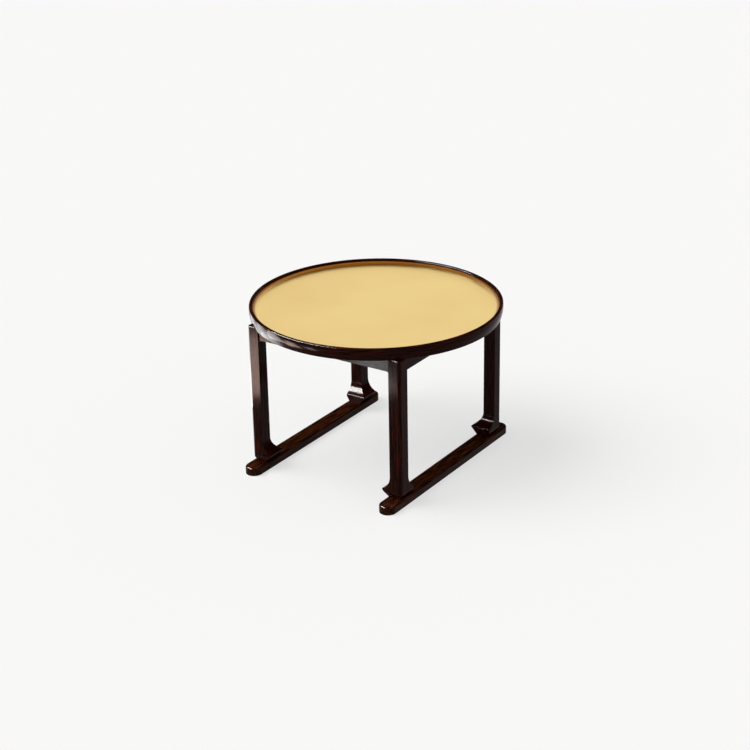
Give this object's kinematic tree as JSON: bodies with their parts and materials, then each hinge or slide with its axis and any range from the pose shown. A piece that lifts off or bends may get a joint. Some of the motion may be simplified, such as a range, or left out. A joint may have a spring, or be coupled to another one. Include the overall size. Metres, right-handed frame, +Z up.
{
  "type": "tray table",
  "caption": "Low round tray table for a floor seat: gold plate in a dark lacquered rim, on square flared legs pegged to aprons and runners.",
  "frame": {"origin": "on the floor under the middle of the tray", "axes": "+Z up; X across the runners, +X to the right; Y along the runners, front towards -Y"},
  "size_m": [0.3794, 0.3794, 0.25],
  "materials": {
    "lacquered_wood": "glossy dark lacquer",
    "satin_brass": "satin",
    "peg_wood": "plain"
  },
  "bodies": {
    "root": {"tray_rim": "lacquered_wood", "tray_board": "lacquered_wood", "top_plate": "satin_brass", "leg_front_left": "lacquered_wood", "leg_front_right": "lacquered_wood", "leg_back_left": "lacquered_wood", "leg_back_right": "lacquered_wood", "runner_left": "lacquered_wood", "runner_right": "lacquered_wood", "apron_front": "lacquered_wood", "apron_back": "lacquered_wood", "apron_left": "lacquered_wood", "apron_right": "lacquered_wood", "apron_pegs": "peg_wood", "tray_pegs": "peg_wood", "tenon_wedges": "peg_wood"}
  },
  "joints": []
}
